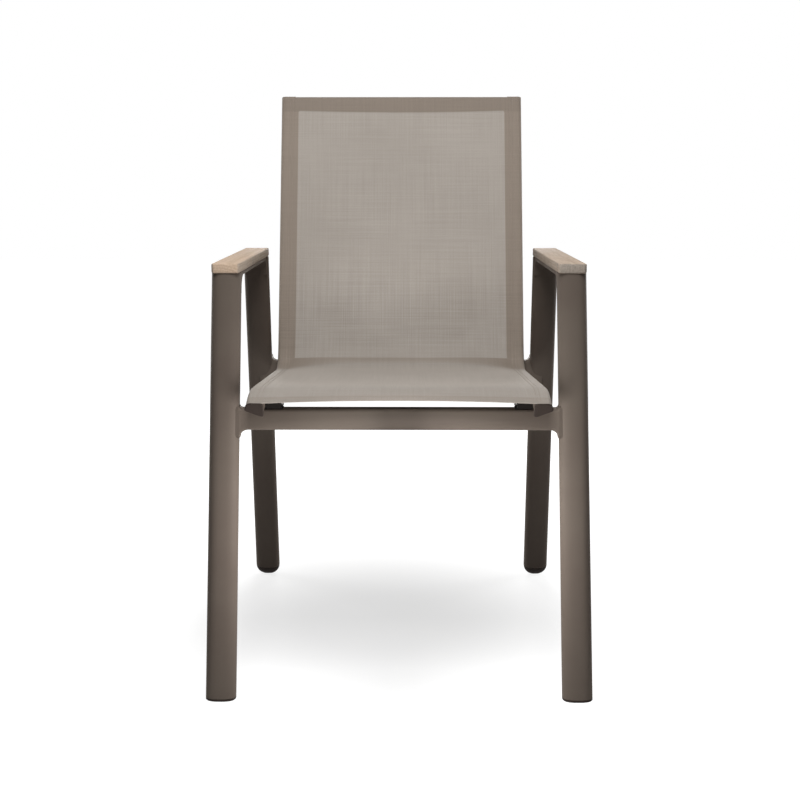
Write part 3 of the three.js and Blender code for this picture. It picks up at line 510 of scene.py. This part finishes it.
# From the hem under the front edge, round its fold and along the rails to where the top tube turns it
bar_height, bar_depth, bar_rise = 24.0, 12.0, 3.8
bar_top = rail_end + bar_rise
leave = bar_top - bar_depth / 2
curve_step, flat_step, bend_step = 5, 11, 4
stations = steps(0, front_arc, curve_step) + steps(front_arc, seat_end, flat_step)
stations += steps(seat_end, bend_end, bend_step) + steps(bend_end, leave, flat_step) + [leave]
rows = []
for reach in (hem_turn, hem_turn / 2, hem_start, 0.0):
    rows.append(add_row(*cloth_row(reach, lower, -math.pi * fold - reach)))
for a in fold_turns:
    rows.append(add_row(*cloth_row(-fold * math.sin(a), between - fold * math.cos(a), (a - math.pi) * fold)))
for distance in stations:
    rows.append(add_row(*cloth_row(distance, upper, distance)))
faces += lattice(rows)


def carried_on(line, columns, hung):
    """Carries columns of the last row on along a line of (distance, off), and gives the flat length there."""
    strip = [[rows[-1][i] for i in columns]]
    flat_v, previous = leave, (leave, upper)
    for distance, off in line:
        flat_v += math.dist(previous, (distance, off))
        previous = (distance, off)
        points, flats = cloth_row(distance, off, flat_v, 1.0 if hung and off > 0 else 0.0)
        strip.append(add_row([points[i] for i in columns], [flats[i] for i in columns]))
    faces.extend(lattice(strip))
    return flat_v


# The sleeve between the slits beside the rails: round the top tube, down behind it and back to the cloth
turn_radius = bar_depth / 2 + upper
foot = bar_top - bar_height
seam_drop, seam_bow = 4.8, 3.2    # the seam lies this far below the tube, and lower still in the middle
sleeve_seam = foot - seam_drop
over_rows, under_rows = 12, 5
sleeve = [(leave + turn_radius * math.sin(a), turn_radius * math.cos(a) - bar_depth / 2)
          for a in np.linspace(0, math.pi, over_rows + 1)[1:]]
sleeve += [(foot + bar_depth / 2 - turn_radius * math.sin(a), -turn_radius * math.cos(a) - bar_depth / 2)
           for a in np.linspace(0, math.pi / 2, under_rows + 1)]
tail = [(foot - 1.6, -4.0, 0), (foot - 3.2, lower, 1.5), (foot - 9, lower, 0), (foot - 15, lower, 0)]
sleeve += rounded(tail, parts=4)
columns = len(rows[-1])
left_slit = columns // 2 - inner_columns.index(slit_edge)
right_slit = columns // 2 + inner_columns.index(slit_edge)
sling_length = carried_on(sleeve, range(left_slit, right_slit + 1), hung=True) + hem_turn

# The corners beside the slits, turned under at the top of each rail
corner_rise, corner_turn = 3.3, 10.0
top_edge = rail_end + corner_rise
corner = [(top_edge - corner_turn * share, upper) for share in (0.5, 0.25, 0.0)]
corner += [(top_edge + fold * math.sin(a), between + fold * math.cos(a)) for a in fold_turns]
corner += [(top_edge - corner_turn * share, lower) for share in (0.0, 0.5, 1.0)]
for beside in (range(0, left_slit + 1), range(right_slit, columns)):
    carried_on(corner, beside, hung=False)


def cloth_piece(name, vertices, places, faces, material, thickness):
    mesh = bpy.data.meshes.new(name)
    mesh.from_pydata([Vector(v) * MM for v in vertices], [], faces)
    cut = mesh.uv_layers.new(name="cut_cloth")
    for loop in mesh.loops:
        u, v = places[loop.vertex_index]
        cut.data[loop.index].uv = (u * MM, v * MM)
    mesh.materials.append(material)
    piece = bpy.data.objects.new(name, mesh)
    bpy.context.scene.collection.objects.link(piece)
    bpy.ops.object.select_all(action="DESELECT")
    piece.select_set(True)
    bpy.context.view_layer.objects.active = piece
    wall = piece.modifiers.new("thickness", "SOLIDIFY")
    wall.thickness, wall.offset = thickness * MM, 0.0
    bpy.ops.object.modifier_apply(modifier="thickness")
    bpy.ops.object.shade_smooth_by_angle(angle=math.radians(40))
    return piece


yarn_pitch, yarn_dip = 1.1, 0.55
slub_scale, drawn_out = 520, 0.012
crease, crease_rise, crease_blur = 415.5, 8.5, 0.7    # the back turns into the seat, higher up at the sides
crease_tone, crease_side_tone, crease_spread = 0.68, 0.3, 2.5
border_round, border_blur = 4.0, 0.6
hem_tone, hem_blur = 0.3, 0.5


def sling_mesh(name):
    """Plain weave of coated yarns on the piece's own cut pattern, in millimetres, with painted shade where it
    lies double and at the crease.
    """
    material, tree, shader = new_material(name)
    calc = partial(math_node, tree)
    pattern = tree.nodes.new("ShaderNodeUVMap")
    pattern.uv_map = "cut_cloth"
    split = tree.nodes.new("ShaderNodeSeparateXYZ")
    tree.links.new(pattern.outputs["UV"], split.inputs["Vector"])
    u, v = split.outputs["X"], split.outputs["Y"]

    def edge(value, start, stop, low=0.0, high=1.0):
        return smooth_step(tree, value, start * MM, stop * MM, low, high)

    def stretched(scale_u, scale_v, scale):
        mapping = tree.nodes.new("ShaderNodeMapping")
        mapping.inputs["Scale"].default_value = (scale_u, scale_v, 1.0)
        tree.links.new(pattern.outputs["UV"], mapping.inputs["Vector"])
        return noise(tree, mapping.outputs["Vector"], scale, detail=3, rough=0.6)

    # Yarns that pass over and under each other
    wave_u = calc("SINE", calc("MULTIPLY", u, math.pi / (yarn_pitch * MM)))
    wave_v = calc("SINE", calc("MULTIPLY", v, math.pi / (yarn_pitch * MM)))
    over = calc("GREATER_THAN", calc("MULTIPLY", wave_u, wave_v), 0.0)
    warp_height = calc("ADD", 1.0 - yarn_dip, calc("MULTIPLY", over, yarn_dip))
    weft_height = calc("SUBTRACT", 1.0, calc("MULTIPLY", over, yarn_dip))
    warp = calc("MULTIPLY", calc("ABSOLUTE", wave_u), warp_height)
    weft = calc("MULTIPLY", calc("ABSOLUTE", wave_v), weft_height)
    lift = calc("ADD", warp, weft)

    # Thick and thin yarns, which show most in the lower back
    long_slubs = calc("MULTIPLY", stretched(1.0, drawn_out, slub_scale), 0.5)
    cross_slubs = calc("MULTIPLY", stretched(drawn_out, 1.0, slub_scale), 0.5)
    slubs = calc("ADD", long_slubs, cross_slubs)
    cloud = stretched(1.0, 1.0, 7)
    low_back = calc("MULTIPLY", edge(v, 430, 470), edge(v, 500, 610, 1.0, 0.0))
    tone = calc("ADD", calc("MULTIPLY", slubs, 0.7), calc("MULTIPLY", cloud, 0.3))
    tone = calc("ADD", 0.5, calc("MULTIPLY", calc("SUBTRACT", tone, 0.5), calc("ADD", 1.0, low_back)))
    open_cloth = toned(tree, tone, (157, 149, 140), (180, 172, 164))
    shaded_cloth = toned(tree, tone, (136, 124, 113), (151, 139, 127))

    # Painted shade: the sides where the cloth lies double, the sleeve over the top tube and the hem, and a
    # band below the crease
    half = calc("MINIMUM", calc("DIVIDE", calc("ABSOLUTE", u), allowance_edge * MM), 1.0)
    near_side = calc("POWER", half, 4.0)
    side_border = (allowance_edge - border_round) * MM
    beyond_side = calc("MAXIMUM", calc("SUBTRACT", calc("ABSOLUTE", u), side_border), 0.0)
    sleeve_edge = calc("ADD", sleeve_seam * MM, calc("MULTIPLY", calc("POWER", half, 2.0), seam_bow * MM))
    beyond_top = calc("MAXIMUM", calc("ADD", calc("SUBTRACT", v, sleeve_edge), border_round * MM), 0.0)
    beyond = calc("SQRT", calc("ADD", calc("POWER", beyond_side, 2.0), calc("POWER", beyond_top, 2.0)))
    crease_line = calc("ADD", crease * MM, calc("MULTIPLY", near_side, crease_rise * MM))
    below_crease = calc("SUBTRACT", crease_line, v)
    past_crease = edge(below_crease, -crease_blur, crease_blur)
    border_shade = calc("MULTIPLY", edge(beyond, border_round - border_blur, border_round + border_blur),
                  calc("SUBTRACT", 1.0, past_crease))
    widened = calc("ADD", calc("MULTIPLY", near_side, crease_spread), 1.0)
    crease_fade = edge(calc("DIVIDE", below_crease, widened), 3, 26, 1.0, 0.0)
    crease_depth = calc("ADD", calc("MULTIPLY", near_side, crease_side_tone), crease_tone)
    crease_shade = calc("MULTIPLY", calc("MULTIPLY", past_crease, crease_depth), crease_fade)
    hem_shade = edge(v, hem_turn - hem_blur, hem_turn + hem_blur, hem_tone, 0.0)
    painted_shade = calc("MAXIMUM", calc("MAXIMUM", border_shade, crease_shade), hem_shade)

    # Painted light and shade: the front roll is painted darker and the seat behind the crease lighter; the
    # lower back and the sleeve are a little darker
    lower_back_darkening = edge(v, 500, 610, 0.90, 1.03)
    seat_painted_light = edge(below_crease, 20, 60, 1.0, 1.14)
    roll_painted_shade = edge(v, hem_turn, 140, 0.84, 1.0)
    sleeve_darkening = edge(beyond_top, 0.0, border_round, 1.0, 0.9)
    tone_and_painted_light = calc("MULTIPLY", calc("MULTIPLY", calc("MULTIPLY", lower_back_darkening, seat_painted_light), roll_painted_shade), sleeve_darkening)
    toned_and_lit_cloth = tree.nodes.new("ShaderNodeVectorMath")
    toned_and_lit_cloth.operation = "SCALE"
    tree.links.new(mixed(tree, "MIX", painted_shade, open_cloth, shaded_cloth), toned_and_lit_cloth.inputs[0])
    tree.links.new(tone_and_painted_light, toned_and_lit_cloth.inputs["Scale"])
    # Painted shade in the low places between the yarns
    gap_shade = ramp(tree, lift, (0.15, shade(150, 146, 142)), (0.7, shade(255, 255, 255)))
    woven = mixed(tree, "MULTIPLY", 0.5, toned_and_lit_cloth.outputs["Vector"], gap_shade)
    tree.links.new(woven, shader.inputs["Base Color"])
    tree.links.new(spread(tree, tone, 0.62, 0.8), shader.inputs["Roughness"])
    shader.inputs["Specular IOR Level"].default_value = 0.25
    shader.inputs["Sheen Weight"].default_value = 0.05
    bump(tree, shader, calc("MULTIPLY", lift, 0.6), depth=0.25 * MM, strength=0.6)
    return material


sling_finish = sling_mesh("sling_mesh_weave")
sling = cloth_piece("sling_cloth", vertices, places, faces, sling_finish, layer)
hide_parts("sling")
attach(sling, "root")

# The seam allowances, turned under along the sides and caught by both rows of stitches
allowance_start, allowance_end, allowance_step = hem_turn + 1.5, top_edge - 12.0, 9
pressed_layer = layer - 0.05
first = inner_columns.index(allowance_edge)
for side, side_name in ((-1, "left"), (1, "right")):
    strip, flats, strip_rows = [], [], []
    for distance in steps(allowance_start, allowance_end, allowance_step) + [allowance_end]:
        x, y, flat, _ = half_row(lower, distance)
        base, facing = rail_line(distance)
        strip_rows.append(list(range(len(strip), len(strip) + len(x) - first)))
        strip.extend((side * x[i], *(base + facing * y[i])) for i in range(first, len(x)))
        flats.extend((side * flat[i], distance) for i in range(first, len(x)))
    name = f"sling_allowance_{side_name}"
    piece = cloth_piece(name, strip, flats, lattice(strip_rows), sling_finish, pressed_layer)
    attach(piece, "root")


# Stitching. Lock stitches of bonded polyester thread: two rows down each side, one along the front
# hem, one below the sleeve of the top tube and one across each top corner.

def thread(name):
    material, tree, shader = new_material(name)
    twist = noise(tree, object_place(tree), scale=3000, detail=1)
    tree.links.new(toned(tree, twist, (138, 127, 116), (156, 145, 134)), shader.inputs["Base Color"])
    shader.inputs["Roughness"].default_value = 0.6
    bump(tree, shader, twist, depth=0.1 * MM, strength=0.4)
    return material


stitch_length, stitch_pitch, thread_radius = 3.1, 3.9, 0.25
stitch_bow, end_bevel = 0.12, 0.16
outer_face = upper + layer / 2

# One stitch: a short thread with rounded ends, bowed where it rises out of the cloth
bpy.ops.object.select_all(action="DESELECT")
bpy.ops.mesh.primitive_cylinder_add(vertices=6, radius=thread_radius * MM, depth=stitch_length * MM)
stitch = bpy.context.object
bpy.ops.object.mode_set(mode="EDIT")
bpy.ops.mesh.select_all(action="SELECT")
bpy.ops.transform.rotate(value=math.pi / 2, orient_axis="Y", center_override=(0, 0, 0))
bpy.ops.mesh.bisect(plane_co=(0, 0, 0), plane_no=(1, 0, 0))
bpy.ops.transform.translate(value=(0, 0, stitch_bow * MM))
bpy.ops.mesh.select_all(action="DESELECT")
bpy.ops.object.mode_set(mode="OBJECT")
for face in stitch.data.polygons:
    face.select = abs(face.normal.x) > 0.9
bpy.ops.object.mode_set(mode="EDIT")
bpy.ops.mesh.select_mode(type="FACE")
bpy.ops.mesh.bevel(offset=end_bevel * MM, segments=1, affect="EDGES")
bpy.ops.object.mode_set(mode="OBJECT")
stitch.data.materials.append(thread("sewing_thread"))


def seam_spot(distance, x):
    """A point on the cloth's outer face, and the direction that the cloth faces there."""
    share = min(abs(x) / rail_inner, 1.0)
    base, facing = rail_line(scalloped(distance, share))
    spot = base + facing * (outer_face - sag(distance, share))
    return Vector((x, *spot)) * MM, Vector((0.0, *facing))


def sew(start, stop, bow=0.0):
    """A row of stitches over the cloth, from one (distance, x) to another, hanging by bow in its middle."""
    count = int(math.dist(start, stop) / stitch_pitch)
    half_stitch = 0.5 * stitch_length / math.dist(start, stop)
    for k in range(count):
        middle = (k + 0.5) / count
        ends = []
        for share in (middle - half_stitch, middle + half_stitch):
            distance = start[0] + (stop[0] - start[0]) * share - 4 * bow * share * (1 - share)
            ends.append(seam_spot(distance, start[1] + (stop[1] - start[1]) * share))
        (first_spot, facing), (last_spot, _) = ends
        along = (last_spot - first_spot).normalized()
        across = facing.cross(along).normalized()
        turn = Matrix((along, across, along.cross(across))).transposed().to_4x4()
        copy = bpy.data.objects.new("stitch", stitch.data.copy())
        copy.data.transform(Matrix.Translation((first_spot + last_spot) / 2) @ turn)
        bpy.context.scene.collection.objects.link(copy)
        copy.select_set(True)


end_inset, corner_inset, hem_inset, hem_half = 2.0, 6.5, 3.0, 187.0
corner_seam = (188.5, 206.0)      # where the row across a top corner starts and stops
bpy.ops.object.select_all(action="DESELECT")
for side in (-1, 1):
    for seam in seams:
        sew((end_inset, side * seam), (top_edge - end_inset, side * seam))
    sew((top_edge - corner_inset, side * corner_seam[0]), (top_edge - corner_inset, side * corner_seam[1]))
sew((hem_turn - hem_inset, -hem_half), (hem_turn - hem_inset, hem_half))
sew((sleeve_seam + seam_bow, -slit_edge), (sleeve_seam + seam_bow, slit_edge), seam_bow)
stitches = bpy.context.selected_objects[0]
bpy.context.view_layer.objects.active = stitches
bpy.ops.object.join()
stitches.name = stitches.data.name = "sling_stitches"
bpy.ops.object.shade_smooth_by_angle(angle=math.radians(60))
bpy.data.objects.remove(stitch)
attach(stitches, "root")

sling_width = 2 * half_row(upper, seat_end / 2)[2][-1]


# Studio. A plain pale floor that runs into a white surround, with a round shadow painted into its glow under
# the seat, a soft lamp above and in front of the chair, three small ones low before its front legs, and broad
# ones behind and beside it. The camera stands where the photograph was taken from: straight ahead, and higher
# than the armrests.

def shows_background(tree):
    """1 for a ray from the camera, off a gloss or through a glass, and 0 for one that lights the chair."""
    path = tree.nodes.new("ShaderNodeLightPath")
    bounced = math_node(tree, "MAXIMUM", path.outputs["Is Glossy Ray"], path.outputs["Is Transmission Ray"])
    return math_node(tree, "MAXIMUM", path.outputs["Is Camera Ray"], bounced)


floor_size, floor_grey = 18.0, 0.30
painted_shadow_glow, painted_shadow_middle = 0.57, (-0.04, 0.04, 0.0)      # a round shadow painted into the floor's glow, under the seat
painted_shadow_start, painted_shadow_stop = 0.10, 0.58
bpy.ops.object.select_all(action="DESELECT")
bpy.ops.mesh.primitive_plane_add(size=floor_size, location=(0, 0, 0))
floor = bpy.context.object
floor.name = "studio_floor"
material, tree, shader = new_material("pale_floor")
shader.inputs["Base Color"].default_value = (floor_grey, floor_grey, floor_grey, 1)
shader.inputs["Roughness"].default_value = 0.9
shader.inputs["Specular IOR Level"].default_value = 0.0
reach = tree.nodes.new("ShaderNodeVectorMath")
reach.operation = "DISTANCE"
reach.inputs[1].default_value = painted_shadow_middle
tree.links.new(object_place(tree), reach.inputs[0])
fade = smooth_step(tree, reach.outputs["Value"], painted_shadow_start, painted_shadow_stop, low=painted_shadow_glow)
glow = tree.nodes.new("ShaderNodeEmission")
glow.inputs["Color"].default_value = (1, 1, 1, 1)
tree.links.new(math_node(tree, "MULTIPLY", shows_background(tree), fade), glow.inputs["Strength"])
both = tree.nodes.new("ShaderNodeAddShader")
tree.links.new(shader.outputs["BSDF"], both.inputs[0])
tree.links.new(glow.outputs["Emission"], both.inputs[1])
tree.links.new(both.outputs["Shader"], tree.nodes["Material Output"].inputs["Surface"])
floor.data.materials.append(material)

world = bpy.data.worlds.new("studio")
bpy.context.scene.world = world
world.use_nodes = True
tree = world.node_tree
surround = tree.nodes["Background"]
surround.inputs["Color"].default_value = (1, 1, 1, 1)
tree.links.new(spread(tree, shows_background(tree), 0.08, 1.0), surround.inputs["Strength"])


def soft_light(name, place, target, size, power, beam=180):
    lamp = bpy.data.lights.new(name, "AREA")
    lamp.shape, lamp.size, lamp.energy, lamp.spread = "SQUARE", size, power, math.radians(beam)
    holder = bpy.data.objects.new(name, lamp)
    bpy.context.scene.collection.objects.link(holder)
    holder.location = place
    holder.rotation_euler = (Vector(target) - Vector(place)).to_track_quat("-Z", "Y").to_euler()
    holder.visible_camera = False


soft_light("overhead", (0.0, -1.0, 1.7), (0.0, 0.05, 0.5), size=0.6, power=22.2)
soft_light("rear", (0.0, 1.9, 0.8), (0.0, 0.0, 0.4), size=0.9, power=25)
soft_light("crossbar", (0.0, -0.75, 0.36), (0.0, -0.29, 0.40), size=0.12, power=0.07, beam=30)
for side, toward in (("left", -1), ("right", 1)):
    soft_light(f"{side}_leg", (0.02 * toward, -0.46, 0.28), (toward, -0.46, 0.28), size=0.2, power=1.8)
    soft_light(f"{side}_side", (1.9 * toward, 1.1, 0.6), (0.0, 0.05, 0.4), size=0.9, power=18)

camera = bpy.data.objects.new("camera", bpy.data.cameras.new("camera"))
bpy.context.scene.collection.objects.link(camera)
camera.location = (0.0143, -1.97511, 0.761)
camera.rotation_euler = (math.radians(90 - 10.46), 0.0, math.radians(0.433))
camera.data.sensor_width = 36.0
camera.data.lens = 55.35
bpy.context.scene.camera = camera
bpy.context.scene.view_settings.view_transform = "Standard"
